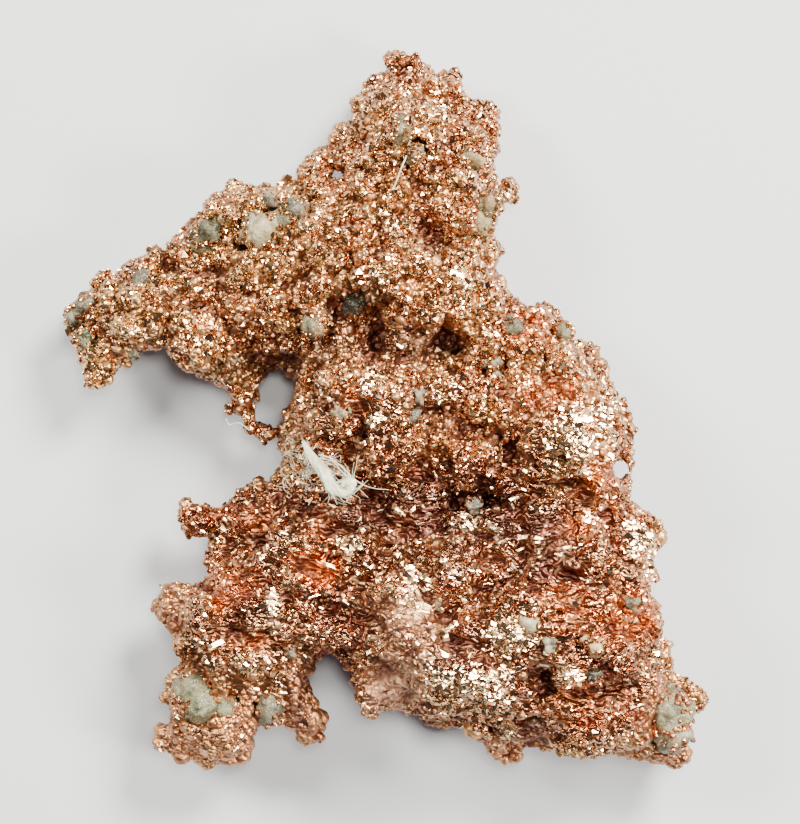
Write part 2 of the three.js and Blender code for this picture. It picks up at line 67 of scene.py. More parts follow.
# Zones as seen from above, in millimetres: middle x, y; half-widths across and along; turn in degrees;
# strength
ORANGE_REFLECTIONS = [  # painted reflection: the saturated orange of copper reflected in copper, in the folds
    (-4.5, -10.7, 1.7, 1.4, -10, 1.0),
    (-4.7, -8.2, 0.8, 1.5, -15, 0.6),
    (-11.4, -13.0, 0.9, 1.2, 0, 1.0),
    (-9.0, -15.6, 1.8, 0.6, 0, 0.6),
    (-8.7, -7.4, 1.6, 1.0, 0, 0.6),
    (14.3, -3.8, 1.1, 2.0, 8, 1.0),
    (13.4, -0.9, 0.5, 1.3, 25, 0.8),
    (13.4, -7.8, 1.6, 0.9, 0, 0.7),
    (16.6, -13.8, 2.2, 2.2, 0, 0.95),
    (12.6, -13.0, 2.6, 1.6, 0, 0.6),
    (11.4, 0.9, 2.6, 1.6, 20, 0.6),
    (13.0, -19.6, 3.2, 2.4, 0, 0.45),
    (9.8, 5.6, 1.6, 1.2, 0, 0.5),
    (-2.6, 0.6, 1.1, 0.9, 20, 0.7),
    (-11.6, -6.8, 1.6, 1.0, -15, 0.45),
    (-10.4, -11.6, 2.0, 1.0, -10, 0.5),
]
PURPLE = [  # purple-brown tarnish
    (5.0, -7.2, 5.6, 2.6, -4, 1.0),
    (-1.9, -7.2, 2.4, 1.4, -10, 0.9),
    (10.4, -10.4, 2.6, 1.6, 0, 0.6),
    (4.2, -15.9, 1.8, 1.4, -20, 0.6),
    (10.6, -7.6, 1.8, 1.6, 0, 0.8),
    (-6.5, -7.0, 2.6, 1.6, -15, 0.6),
    (1.0, -9.6, 3.0, 1.6, 0, 0.5),
    (0.4, 4.4, 4.0, 1.6, 0, 0.6),
    (-5.2, -20.6, 2.0, 3.4, 0, 0.4),
]
PINK = [  # matt pink patches
    (0.7, -18.7, 1.9, 2.3, -14, 1.0),
    (1.6, -14.2, 2.8, 2.4, 0, 0.35),
]
DARK = [  # painted shade: hollows and overhung spots painted darker and redder, which are sunk too
    (-2.3, 7.2, 2.1, 1.0, 12, 1.0),
    (-0.95, 5.4, 0.6, 0.8, 0, 1.0),
    (3.3, 4.3, 2.4, 1.1, 14, 0.85),
    (3.4, 11.3, 1.5, 1.0, -20, 0.8),
    (4.0, -1.2, 1.9, 1.0, 0, 0.55),
    (-8.7, -8.9, 0.8, 0.8, 0, 1.0),
    (-8.7, -7.0, 1.2, 0.7, -15, 0.8),
    (-8.0, 3.1, 4.6, 0.9, 4, 0.8),
    (10.4, -17.6, 0.8, 2.8, 2, 1.0),
    (14.8, -18.9, 1.5, 1.4, -10, 1.0),
    (11.0, -9.2, 2.2, 1.2, 0, 0.7),
    (-4.5, -6.6, 1.6, 0.8, 0, 0.5),
    (10.0, -22.0, 1.3, 1.8, 0, 0.9),
    (12.0, -10.6, 2.6, 0.9, 0, 0.7),
    (-2.2, -13.4, 1.4, 1.4, 24, 0.6),
    (-9.8, -15.2, 2.8, 0.8, -4, 0.85),
    (2.4, -21.8, 3.0, 0.8, -16, 0.8),
    (0.0, -6.9, 2.4, 0.9, -10, 0.7),
    (-3.4, 0.3, 1.2, 1.0, 0, 0.7),
]
GLEAM = [  # patches of plates that all throw the light back
    (-2.3, -9.1, 0.8, 0.7, 0, 1.0),
    (1.8, -11.2, 0.8, 0.6, 0, 1.0),
    (-7.6, -13.5, 0.4, 1.7, 5, 1.0),
    (12.2, -2.8, 1.1, 1.5, 15, 1.0),
    (13.2, -1.9, 0.5, 1.3, 30, 1.0),
    (17.3, -9.3, 0.9, 1.8, 10, 1.0),
    (4.0, -17.9, 0.9, 0.8, 0, 1.0),
    (7.8, -21.6, 0.8, 1.1, 20, 1.0),
    (7.6, -17.0, 0.7, 1.6, 0, 0.7),
    (12.4, -17.6, 0.7, 0.9, 0, 0.8),
    (0.5, 12.6, 0.6, 0.8, 30, 1.0),
    (7.7, 14.9, 0.6, 0.6, 0, 1.0),
    (5.5, 15.3, 0.5, 0.5, 0, 0.9),
    (5.1, 8.7, 0.5, 1.8, 0, 1.0),
    (-0.4, 9.0, 0.6, 0.5, 0, 0.9),
    (4.1, 1.2, 1.0, 0.7, 20, 1.0),
    (1.2, 4.7, 0.7, 0.4, 0, 0.8),
    (-4.7, 6.6, 0.6, 0.4, 0, 0.9),
    (6.6, -8.0, 1.8, 0.5, -8, 0.8),
    (-1.0, 2.0, 0.7, 0.5, 0, 0.7),
    (3.4, 20.6, 0.8, 0.8, 0, 0.8),
    (-4.6, 0.8, 0.5, 0.6, 0, 1.0),
    (-0.6, -0.8, 0.6, 0.5, 0, 1.0),
    (-9.7, -17.1, 0.9, 0.45, 0, 1.0),
    (-12.0, -17.0, 0.4, 0.35, 0, 1.0),
    (5.4, -19.0, 3.4, 1.8, -10, 0.6),
    (15.2, 0.2, 1.0, 0.9, 0, 0.9),
    (13.0, -1.6, 3.0, 3.0, 0, 0.45),
    (13.5, -7.1, 0.5, 0.4, 0, 0.9),
    (14.9, -3.1, 0.4, 0.3, 0, 0.9),
    (2.0, 14.0, 0.7, 0.7, 0, 0.7),
    (8.2, -15.0, 1.4, 1.2, 0, 0.75),
    (2.3, -12.6, 1.6, 1.6, 0, 0.5),
]
NOTCHES = [  # bites in the outline
    (8.8, 7.2, 0.9, 0.9, 0, 1.0),
    (12.9, 5.4, 0.8, 0.8, 0, 1.0),
    (-15.3, -21.0, 0.6, 0.8, 0, 1.0),
    (-11.8, 9.6, 0.5, 0.8, 0, 0.6),
    (17.0, -6.0, 0.6, 0.7, 0, 1.0),
]
HOLES = [  # two holes and a bay that are kept open
    (-3.4, 16.3, 1.5, 1.5, 0, 1.0),
    (16.0, -4.1, 1.2, 1.4, 0, 1.0),
    (-7.2, 0.5, 0.9, 1.6, 0, 0.8),
]
FOIL = [  # crumpled, foil-like copper
    (13.0, -2.8, 3.4, 3.2, 0, 1.0),
    (12.5, -10.0, 4.6, 4.0, 0, 1.0),
    (4.0, -7.5, 8.0, 3.4, -4, 1.0),
    (-7.5, -10.0, 5.5, 3.6, -15, 1.0),
    (-10.0, -14.5, 4.0, 2.6, 0, 0.9),
    (3.0, -13.5, 7.0, 5.0, 0, 1.0),
    (6.0, -18.5, 7.5, 3.6, -6, 1.0),
    (14.0, -17.0, 4.4, 4.6, 0, 1.0),
    (-2.0, -0.6, 2.6, 1.8, 20, 0.8),
]
SATIN = [  # smooth rounded knobs, on the toes and along the lower edge
    (-12.2, -21.6, 5.4, 4.2, 0, 1.0),
    (-5.6, -20.6, 1.8, 4.0, 0, 0.8),
    (19.4, -22.0, 2.6, 3.4, 0, 1.0),
    (-15.0, -13.5, 1.5, 2.4, 0, 0.9),
    (5.0, -23.4, 9.0, 1.5, -8, 0.9),
]
HIGHLIGHT_PATCHES = [  # painted highlight: paler copper where the light falls brightest
    (-8.0, 11.5, 5.0, 3.4, 10, 0.65),
    (-17.0, 6.4, 4.6, 3.0, 20, 0.7),
    (4.0, 14.0, 5.0, 6.0, 0, 0.15),
    (12.6, -2.4, 3.6, 4.0, 0, 0.5),
    (5.0, -18.6, 4.6, 2.6, -10, 0.6),
    (8.2, -15.0, 1.8, 1.6, 0, 0.7),
    (2.3, -12.6, 1.8, 2.0, 0, 0.6),
]
SHALLOW = [  # a stretch of the valley that is raised
    (5.9, -5.4, 2.8, 1.3, 0, 1.0),
]


def zone(points, shapes, gain=1.0):
    """How far each point lies in a set of soft ellipses, 0 to 1; a gain over 1 widens them."""
    total = np.zeros(len(points))
    for x, y, across, along, degrees, strength in shapes:
        angle = math.radians(degrees)
        dx, dy = points[:, 0] - x, points[:, 1] - y
        u = (dx * math.cos(angle) + dy * math.sin(angle)) / across
        v = (dy * math.cos(angle) - dx * math.sin(angle)) / along
        total = np.maximum(total, strength * np.exp(-((u * u + v * v) ** 1.5)))
    return np.minimum(gain * total, 1)


# Noise

SHIFT = 1000.0  # keeps the numbers of the cells positive
FAR = 9.0  # in cells: further than any neighbour
NEIGHBOURS = list(product((-1, 0, 1), repeat=3))


def hashed(i, j, k, seed):
    """A repeatable random number from 0 to 1 for each whole-number cell, by mixing its bits."""
    h = (
        i.astype(np.uint64) * np.uint64(374761393)
        + j.astype(np.uint64) * np.uint64(668265263)
        + k.astype(np.uint64) * np.uint64(2147483647)
        + np.uint64(seed * 1274126177 + 9781)
    )
    h = (h ^ (h >> np.uint64(13))) * np.uint64(1274126177)
    h = (h ^ (h >> np.uint64(16))) & np.uint64(0xFFFFFF)
    return h.astype(np.float64) / 0xFFFFFF


def noise(points, size, seed):
    """Smooth noise from -1 to 1 with features of one size."""
    q = points / size + SHIFT
    cell = np.floor(q).astype(np.int64)
    t = q - cell
    t = t * t * (3 - 2 * t)
    total = np.zeros(len(points))
    for a, b, c in product((0, 1), repeat=3):
        weight = (
            (t[:, 0] if a else 1 - t[:, 0])
            * (t[:, 1] if b else 1 - t[:, 1])
            * (t[:, 2] if c else 1 - t[:, 2])
        )
        total += weight * hashed(cell[:, 0] + a, cell[:, 1] + b, cell[:, 2] + c, seed)
    return 2 * total - 1


def fractal(points, size, seed, octaves=4):
    """Noise of one size with finer noise over it."""
    total = np.zeros(len(points))
    for octave in range(octaves):
        total += noise(points, size / 2**octave, seed + 31 * octave) / 2**octave
    return total / 1.6


def stirred(points, amount, size, seed):
    """Points moved about by noise, which makes knobs and facets less regular."""
    return points + amount * np.stack([noise(points, size, seed + i) for i in range(3)], 1)


def cells(points, size, seed):
    """Distance to the nearest and second nearest of a scatter of points, and a number for the nearest."""
    q = points / size + SHIFT
    cell = np.floor(q).astype(np.int64)
    first = np.full(len(points), FAR)
    second = np.full(len(points), FAR)
    mark = np.zeros(len(points))
    for step in NEIGHBOURS:
        i, j, k = (cell + step).T
        away = np.zeros(len(points))
        for axis, index in enumerate((i, j, k)):
            away += (index + hashed(i, j, k, seed + 7 * axis) - q[:, axis]) ** 2
        away = np.sqrt(away)
        nearer = away < first
        second = np.where(nearer, first, np.minimum(second, away))
        mark = np.where(nearer, hashed(i, j, k, seed + 99), mark)
        first = np.minimum(first, away)
    return first, second, mark


def facets(points, size, seed, steepness):
    """Height of flat faces of one size, each with a tilt of its own."""
    q = points / size + SHIFT
    cell = np.floor(q).astype(np.int64)
    first = np.full(len(points), FAR)
    height = np.zeros(len(points))
    for step in NEIGHBOURS:
        i, j, k = (cell + step).T
        spots = [index + hashed(i, j, k, seed + 7 * axis) for axis, index in enumerate((i, j, k))]
        away = np.stack(spots, 1) - q
        tilt = np.stack([hashed(i, j, k, seed + 50 + axis) - 0.5 for axis in range(3)], 1)
        length = np.linalg.norm(away, axis=1)
        height = np.where(length < first, (away * tilt).sum(1), height)
        first = np.minimum(first, length)
    return height * size * 2 * steepness


# Heights over a surface. A layer of knobs is: how far its points are stirred, at what size and with what
# seed; the knobs' size and seed; the heights of their plates and of their domes

LARGE_KNOBS = (0.8, 2.2, 37, 3.9, 7, 0.85, 0.4)
MIDDLE_KNOBS = (0.5, 1.2, 40, 1.9, 1, 0.65, 0.55)
SMALL_KNOBS = (0.3, 0.7, 45, 0.95, 2, 0.32, 0.3)
TINY_KNOBS = (0.12, 0.4, 50, 0.55, 3, 0.12, 0.2)
ROUND_KNOBS = (0.3, 0.8, 81, 1.3, 80, 0.1, 1.2)
CLEFT_WIDTH = 0.35  # as a share of a knob's size
FOLD_SLANT = math.radians(-15)


def knobbed(points, layer):
    """Height of one layer of rounded knobs, with narrow clefts between them."""
    amount, stir_size, stir_seed, size, seed, plate, dome = layer
    first, second, mark = cells(stirred(points, amount, stir_size, stir_seed), size, seed)
    cleft = np.clip((second - first) / CLEFT_WIDTH, 0, 1)
    cleft = cleft * cleft * (3 - 2 * cleft)
    return plate * (cleft - 0.75) * (0.6 + 0.8 * mark) + dome * (0.5 - first)


def folds(points, size, seed):
    """Height of sharp-crested creases, drawn out along one slant."""
    along = points[:, 0] * math.cos(FOLD_SLANT) + points[:, 1] * math.sin(FOLD_SLANT)
    across = points[:, 1] * math.cos(FOLD_SLANT) - points[:, 0] * math.sin(FOLD_SLANT)
    drawn = np.stack([0.5 * along, across, points[:, 2]], 1)
    drawn = stirred(drawn, 0.5 * size, 1.3 * size, seed + 5)
    return 0.6 - 1.6 * np.abs(noise(drawn, size, seed)) + 0.4 * noise(drawn, 0.5 * size, seed + 1)


# Meshes as arrays of vertices and of triangles

FLOOR_GAP = 0.02  # how far every piece stays over the floor
MAP_START = (0.03, 0.04)  # corner of the UV map's view from above, as shares of the map
MAP_SPAN = (0.44, 0.92)  # width and height of that view
MAP_BESIDE = 0.5  # how far along the view from below lies
MAP_PAST = 0.03  # how far a piece may stand past the CAD box, as a share of the box


def arrays(mesh):
    """A mesh's vertices and triangles, in its own unit."""
    mesh.calc_loop_triangles()
    verts = np.zeros(len(mesh.vertices) * 3, np.float32)
    mesh.vertices.foreach_get("co", verts)
    tris = np.zeros(len(mesh.loop_triangles) * 3, np.int32)
    mesh.loop_triangles.foreach_get("vertices", tris)
    return verts.reshape(-1, 3).astype(np.float64), tris.reshape(-1, 3)


def make_mesh(name, verts, tris):
    """A mesh from arrays."""
    mesh = bpy.data.meshes.new(name)
    mesh.vertices.add(len(verts))
    mesh.vertices.foreach_set("co", np.ascontiguousarray(verts, np.float32).ravel())
    mesh.loops.add(len(tris) * 3)
    mesh.loops.foreach_set("vertex_index", np.ascontiguousarray(tris, np.int32).ravel())
    mesh.polygons.add(len(tris))
    mesh.polygons.foreach_set("loop_start", np.arange(0, len(tris) * 3, 3, dtype=np.int32))
    mesh.update(calc_edges=True)
    return mesh


def remeshed(verts, tris, size):
    """A closed skin of even little faces round a mesh."""
    thing = bpy.data.objects.new("scratch", make_mesh("scratch", verts, tris))
    bpy.context.scene.collection.objects.link(thing)
    modifier = thing.modifiers.new("remesh", "REMESH")
    modifier.mode = "VOXEL"
    modifier.voxel_size = size
    depsgraph = bpy.context.evaluated_depsgraph_get()
    result = arrays(bpy.data.meshes.new_from_object(thing.evaluated_get(depsgraph)))
    bpy.data.objects.remove(thing)
    return result


def normals(verts, tris):
    """The way each vertex faces."""
    a, b, c = (verts[tris[:, i]] for i in range(3))
    face = np.cross(b - a, c - a)
    total = np.zeros_like(verts)
    for i in range(3):
        for axis in range(3):
            total[:, axis] += np.bincount(tris[:, i], face[:, axis], len(verts))
    return total / (np.linalg.norm(total, axis=1, keepdims=True) + 1e-12)


def smoothed(vectors, tris, rounds):
    """One vector for each vertex, each moved halfway to the mean of its neighbours, a few times."""
    edges = np.concatenate([tris[:, [0, 1]], tris[:, [1, 2]], tris[:, [2, 0]]])
    ends = np.concatenate([edges, edges[:, ::-1]])
    count = np.bincount(ends[:, 0], minlength=len(vectors)).clip(1)
    result = vectors.copy()
    for _ in range(rounds):
        for axis in range(3):
            mean = np.bincount(ends[:, 0], result[ends[:, 1], axis], len(vectors)) / count
            result[:, axis] += 0.5 * (mean - result[:, axis])
    return result


def settle(verts):
    """Keeps everything over the floor that the nugget lies on."""
    verts[:, 2] = np.maximum(verts[:, 2], FLOOR_GAP)
    return verts


def joined(parts):
    """Several meshes as one."""
    verts, faces, start = [], [], 0
    for part_verts, part_faces in parts:
        verts.append(part_verts)
        faces.append(part_faces + start)
        start += len(part_verts)
    return np.vstack(verts), np.vstack(faces)


def bake_map(mesh, verts):
    """A UV map seen from above and, beside it, from below."""
    uv = mesh.uv_layers.new(name="OFBake")
    index = np.zeros(len(mesh.loops), np.int32)
    mesh.loops.foreach_get("vertex_index", index)
    corner = verts[index].reshape(-1, 3, 3)
    up = np.cross(corner[:, 1] - corner[:, 0], corner[:, 2] - corner[:, 0])[:, 2] > 0
    low, high = np.array(cad_low) / MM, np.array(cad_high) / MM
    u = (verts[index, 0] - low[0]) / (high[0] - low[0])
    v = (verts[index, 1] - low[1]) / (high[1] - low[1])
    u = MAP_START[0] + MAP_SPAN[0] * u.clip(-MAP_PAST, 1 + MAP_PAST)
    v = MAP_START[1] + MAP_SPAN[1] * v.clip(-MAP_PAST, 1 + MAP_PAST)
    u = np.where(np.repeat(up, 3), u, u + MAP_BESIDE)
    uv.data.foreach_set("uv", np.stack([u, v], 1).astype(np.float32).ravel())


def put(name, verts, tris, slot, replaces=(), smooth=False, colours=None, creases=None):
    """Makes one piece of the object from millimetres, with the material of its slot."""
    mesh = make_mesh(name, verts, tris)
    if creases is not None:
        layer = mesh.attributes.new("crease", "FLOAT", "POINT")
        layer.data.foreach_set("value", np.ascontiguousarray(creases, np.float32))
    if colours is not None:
        layer = mesh.color_attributes.new("tint", "FLOAT_COLOR", "POINT")
        layer.data.foreach_set("color", np.ascontiguousarray(colours, np.float32).ravel())
    bake_map(mesh, verts)
    mesh.vertices.foreach_set("co", np.ascontiguousarray(verts * MM, np.float32).ravel())
    mesh.polygons.foreach_set("use_smooth", np.broadcast_to(smooth, len(tris)))
    mesh.materials.append(MATERIALS[slot])
    mesh.update()
    thing = bpy.data.objects.new(name, mesh)
    bpy.context.scene.collection.objects.link(thing)
    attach(thing, "root")
    if replaces:
        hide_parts(*replaces)


# Colour of the copper, with its painted shade, highlight and reflection: linear red, green, blue, and
# roughness in the fourth channel

BRIGHT = np.array([0.86, 0.52, 0.24])
# a whiter tint that crystals take on as painted highlight
GLINT = np.array([0.98, 0.82, 0.54])
COPPER = np.array([0.46, 0.19, 0.108])
# dark red of the painted shade in hollows
HOLLOW_SHADE_RED = np.array([0.19, 0.062, 0.05])
# orange of copper reflected in copper, painted into the folds: a painted reflection
REFLECTED_ORANGE = np.array([0.66, 0.155, 0.032])
PURPLE_COPPER = np.array([0.17, 0.075, 0.06])
PINK_COPPER = np.array([0.50, 0.29, 0.23])
GOLD = np.array([0.80, 0.50, 0.21])
PEACH = np.array([0.44, 0.195, 0.115])
# paler copper for the painted highlight patches
HIGHLIGHT_COPPER = np.array([0.88, 0.60, 0.30])
RUST = np.array([0.36, 0.115, 0.06])


def mix(a, b, share):
    """Colours a with a share of colour b in them."""
    share = np.clip(share, 0, 1)[:, None]
    return a * (1 - share) + b * share


def copper_tint(points, cavity, rim, spread):
    """The copper's colour and roughness at each point, with painted shade in the hollows, painted highlight
    and painted reflection. The cavity is 1 deep in a hollow, the rim is 1 at the nugget's edge, and the
    spread makes one crystal brighter than the next."""
    drift = fractal(points, 3.0, 5)
    speck = noise(points, 0.5, 8)
    foil = zone(points, FOIL, 3.0)
    satin = zone(points, SATIN, 1.5)
    inner = 1 - 0.75 * rim
    purple, pink, orange = (zone(points, shapes, 1.2) * inner for shapes in (PURPLE, PINK, ORANGE_REFLECTIONS))
    # Fresh metal, with golden grains, paler copper as painted highlight where the light falls brightest,
    # and duller peach on the rim
    fresh = 0.34 + 0.06 * foil + 0.6 * drift + 0.3 * speck + spread
    tint = mix(np.tile(COPPER, (len(points), 1)), BRIGHT, fresh)
    golden = noise(points, 1.1, 21) > 0.25
    tint = mix(tint, GOLD, 0.45 * (1 - foil) * golden * (0.5 + 0.5 * speck))
    tint = mix(tint, HIGHLIGHT_COPPER, zone(points, HIGHLIGHT_PATCHES) * (0.6 + 0.6 * speck))
    tint = mix(tint, PEACH, np.maximum(0.5 * rim, 0.6 * satin))
    # Rust and tarnish
    warm = foil * (1 - satin)
    tint = mix(tint, COPPER, 0.3 * warm)
    rust = warm * np.clip(2.2 * fractal(points, 1.9, 9) + 0.1, 0, 1)
    tint = mix(tint, RUST, 0.8 * rust - 0.4 * spread)
    tint = mix(tint, PURPLE_COPPER, purple * (1.0 + 0.6 * noise(points, 0.9, 4) - 0.4 * spread))
    # Painted reflection: the orange of copper seen in copper, mixed in by zone
    tint = mix(tint, REFLECTED_ORANGE, orange * (0.9 + 0.4 * noise(points, 0.8, 3)))
    tint = mix(tint, PINK_COPPER, pink * 0.9)
    # Painted shade: hollows and the spots under overhangs are darkened and reddened
    dark = np.maximum(cavity, zone(points, DARK))
    tint = mix(tint, HOLLOW_SHADE_RED, dark * (0.85 + 0.3 * speck))
    tint *= (1 - 0.4 * np.clip(dark, 0, 1) ** 2)[:, None]
    rough = 0.15 + 0.25 * dark + 0.6 * pink + 0.12 * orange + 0.08 * purple
    rough = rough + 0.06 * rim + 0.12 * satin + 0.05 * speck
    return np.column_stack([tint.clip(0.01, 0.97), rough.clip(0.08, 0.8)])


# Materials. The scales of their noise are in waves to the metre


def new_material(name):
    """A new material with only a shader in it; gives the material, its node tree and the shader."""
    material = bpy.data.materials.new(name)
    material.use_nodes = True
    tree = material.node_tree
    tree.nodes.clear()
    output = tree.nodes.new("ShaderNodeOutputMaterial")
    shader = tree.nodes.new("ShaderNodeBsdfPrincipled")
    tree.links.new(shader.outputs[0], output.inputs[0])
    return material, tree, shader


def node(tree, kind, links=(), **values):
    """A shader node with its links, and values for its settings and for its sockets."""
    made = tree.nodes.new(kind)
    for key, value in values.items():
        if hasattr(made, key):
            setattr(made, key, value)
        else:
            made.inputs[key.replace("_", " ")].default_value = value
    for socket, source in links:
        tree.links.new(source, made.inputs[socket])
    return made


def noise_node(tree, vector, scale, detail):
    """A noise texture."""
    return node(tree, "ShaderNodeTexNoise", [("Vector", vector)], Scale=scale, Detail=detail)


def math_node(tree, operation, first, second):
    """A Math node's output; the second value is a number or another node's output."""
    made = node(tree, "ShaderNodeMath", [(0, first)], operation=operation)
    if isinstance(second, float):
        made.inputs[1].default_value = second
    else:
        tree.links.new(second, made.inputs[1])
    return made.outputs[0]


def vector_node(tree, operation, first, second):
    """The output of two vectors added or multiplied."""
    links = [(0, first), (1, second)]
    return node(tree, "ShaderNodeVectorMath", links, operation=operation).outputs[0]


def clouded_base(tree, shader, place, scale, detail, low, high):
    """The mesh's own tint as the base colour, from low to high times as light by noise."""
    tint = node(tree, "ShaderNodeVertexColor", layer_name="tint")
    cloud = noise_node(tree, place, scale, detail)
    levels = dict(From_Min=0.3, From_Max=0.7, To_Min=low, To_Max=high)
    shade = node(tree, "ShaderNodeMapRange", [("Value", cloud.outputs["Fac"])], **levels)
    colour = vector_node(tree, "MULTIPLY", tint.outputs["Color"], shade.outputs[0])
    tree.links.new(colour, shader.inputs["Base Color"])
    return tint


def copper_material():
    """Metal in the mesh's tint, finely creased where the mesh's crease attribute says so."""
    material, tree, shader = new_material("native_copper")
    place = node(tree, "ShaderNodeTexCoord").outputs["Object"]
    tint = clouded_base(tree, shader, place, 1300.0, 3.0, 0.7, 1.2)
    tree.links.new(tint.outputs["Alpha"], shader.inputs["Roughness"])
    wander = noise_node(tree, place, 900.0, 1.0)
    away = node(tree, "ShaderNodeVectorMath", [(0, wander.outputs["Color"])], operation="SCALE", Scale=0.0012)
    moved = vector_node(tree, "ADD", place, away.outputs[0])
    stretch = dict(Rotation=(0, 0, 0.26), Scale=(0.4, 1, 1))
    drawn = node(tree, "ShaderNodeMapping", [("Vector", moved)], **stretch).outputs[0]
    coarse = noise_node(tree, drawn, 1500.0, 1.0)
    fine = noise_node(tree, drawn, 3600.0, 0.0)
    signed = math_node(tree, "SUBTRACT", coarse.outputs["Fac"], 0.5)
    crest = node(tree, "ShaderNodeMath", [(0, signed)], operation="ABSOLUTE").outputs[0]
    small = math_node(tree, "MULTIPLY", fine.outputs["Fac"], 0.22)
    height = math_node(tree, "SUBTRACT", small, crest)
    crease = node(tree, "ShaderNodeAttribute", attribute_name="crease").outputs["Fac"]
    bump = node(tree, "ShaderNodeBump", [("Height", height), ("Strength", crease)], Distance=0.0011)
    tree.links.new(bump.outputs[0], shader.inputs["Normal"])
    shader.inputs["Metallic"].default_value = 1.0
    return material


def quartz_material():
    """Milky, partly clear mineral, glossy in spots."""
    material, tree, shader = new_material("milky_quartz")
    place = node(tree, "ShaderNodeTexCoord").outputs["Object"]
    clouded_base(tree, shader, place, 1500.0, 4.0, 0.78, 1.12)
    fine = noise_node(tree, place, 4200.0, 3.0).outputs["Fac"]
    bump = node(tree, "ShaderNodeBump", [("Height", fine)], Strength=0.8, Distance=0.00016)
    tree.links.new(bump.outputs[0], shader.inputs["Normal"])
    rough = node(tree, "ShaderNodeMapRange", [("Value", fine)], To_Min=0.06, To_Max=0.45)
    tree.links.new(rough.outputs[0], shader.inputs["Roughness"])
    shader.inputs["IOR"].default_value = 1.54
    shader.inputs["Transmission Weight"].default_value = 0.35
    shader.inputs["Subsurface Weight"].default_value = 0.15
    shader.inputs["Subsurface Radius"].default_value = (1.0, 1.0, 1.0)
    shader.inputs["Subsurface Scale"].default_value = 0.0005
    return material


def lint_material():
    """Dull off-white thread with a faint sheen."""
    material, tree, shader = new_material("lint")
    place = node(tree, "ShaderNodeTexCoord").outputs["Object"]
    fine = noise_node(tree, place, 3000.0, 2.0)
    ramp = node(tree, "ShaderNodeValToRGB", [("Fac", fine.outputs["Fac"])])
    dull, pale = ramp.color_ramp.elements
    dull.position = 0.3
    dull.color = (0.55, 0.55, 0.47, 1)
    pale.position = 0.65
    pale.color = (0.84, 0.85, 0.79, 1)
    tree.links.new(ramp.outputs[0], shader.inputs["Base Color"])
    shader.inputs["Roughness"].default_value = 0.85
    shader.inputs["Sheen Weight"].default_value = 0.3
    return material


def floor_material():
    """Plain and pale, a little blue against the yellow of the lamps."""
    material, _, shader = new_material("floor")
    shader.inputs["Base Color"].default_value = (0.56, 0.605, 0.77, 1)
    shader.inputs["Roughness"].default_value = 0.8
    return material


MATERIALS = {"copper": copper_material(), "quartz": quartz_material(), "lint": lint_material()}

# The copper mass: the CAD solid, crumpled and knobbed at several scales

FIRST_FACE = 0.36  # size of the skin's faces while its large knobs are made, and at the end
LAST_FACE = 0.29
EVEN_ROUNDS = 12  # rounds of smoothing that leave only the way a whole stretch of the surface faces
FOOT = 1.0  # height over the floor below which the crumpling fades out
RAISED = 3.0  # the dark hollows are sunk only over this height


def regions(points, outward):
    """How far each point is rim, smooth knobs, crumpled foil and grain, 0 to 1 each. The rim is where the
    surface, evened out, stands upright."""
    rim = np.clip(1.5 - 2.2 * np.abs(outward[:, 2]), 0, 1)
    satin = zone(points, SATIN, 1.5)
    foil = zone(points, FOIL, 3.0) * (1 - satin) * (1 - 0.5 * rim)
    grain = (1 - foil) * (1 - satin)
    return rim, satin, foil, grain


def crumpled(verts, tris):
    """The skin with its large knobs, folds, clefts and hollows."""
    out = normals(verts, tris)
    rim, satin, foil, grain = regions(verts, smoothed(out, tris, EVEN_ROUNDS))
    rounded = np.maximum(rim, satin)
    pink = zone(verts, PINK)
    height = knobbed(verts, LARGE_KNOBS) + 0.3 * fractal(verts, 3.0, 2)
    height += knobbed(verts, MIDDLE_KNOBS) * (0.25 + 0.75 * grain)
    height += knobbed(verts, SMALL_KNOBS) * grain
    height += (folds(verts, 1.9, 70) * 0.9 + folds(verts, 4.4, 77) * 0.7) * foil * (1 - 0.5 * pink)
    height *= (1 - 0.5 * rounded) * (1 - 0.3 * pink)
    height += (0.05 * rim + 0.35) * rounded * knobbed(verts, ROUND_KNOBS)
    sunk = 0.55 * zone(verts, DARK) * (verts[:, 2] > RAISED)
    height -= 0.04 * rim + 0.8 * zone(verts, NOTCHES) + sunk
    height += 0.9 * zone(verts, SHALLOW)
    held = 1 - zone(verts, HOLES)
    height = (height * held - 0.05 * (1 - held)) * np.clip(verts[:, 2] / FOOT, 0, 1)
    return settle(verts + out * height[:, None])


def grained(verts, out, foil, grain):
    """The skin with its smallest knobs and folds."""
    pink = zone(verts, PINK)
    height = knobbed(verts, TINY_KNOBS) * np.maximum(grain, pink)
    height += folds(verts, 0.95, 75) * 0.4 * foil * (1 - 0.85 * pink)
    return settle(verts + out * (height * np.clip(verts[:, 2] / FOOT, 0, 1))[:, None])


cad_copper, cad_tris = arrays(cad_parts["copper_mass"].data)
cad_copper = cad_copper / MM
skin, skin_tris = remeshed(cad_copper, cad_tris, FIRST_FACE)
skin = crumpled(smoothed(skin, skin_tris, 3), skin_tris)
skin, skin_tris = remeshed(skin, skin_tris, LAST_FACE)
skin_out = normals(skin, skin_tris)
outward = smoothed(skin_out, skin_tris, EVEN_ROUNDS)
outward /= np.linalg.norm(outward, axis=1, keepdims=True) + 1e-9
rim, satin, foil, grain = regions(skin, outward)
skin = grained(skin, skin_out, foil, grain)

# A hollow is where the evened-out skin lies over the skin itself; the copper tint paints shade there
narrow = smoothed(skin, skin_tris, 5)
wide = smoothed(narrow, skin_tris, 20)
widest = smoothed(wide, skin_tris, 70)
hollow = np.zeros(len(skin))
for even, share in ((narrow, 2.2), (wide, 1.4), (widest, 0.35)):
    hollow += share * np.einsum("ij,ij->i", even - skin, skin_out)
cavity = np.clip(0.9 * hollow + 0.25, 0, 1)

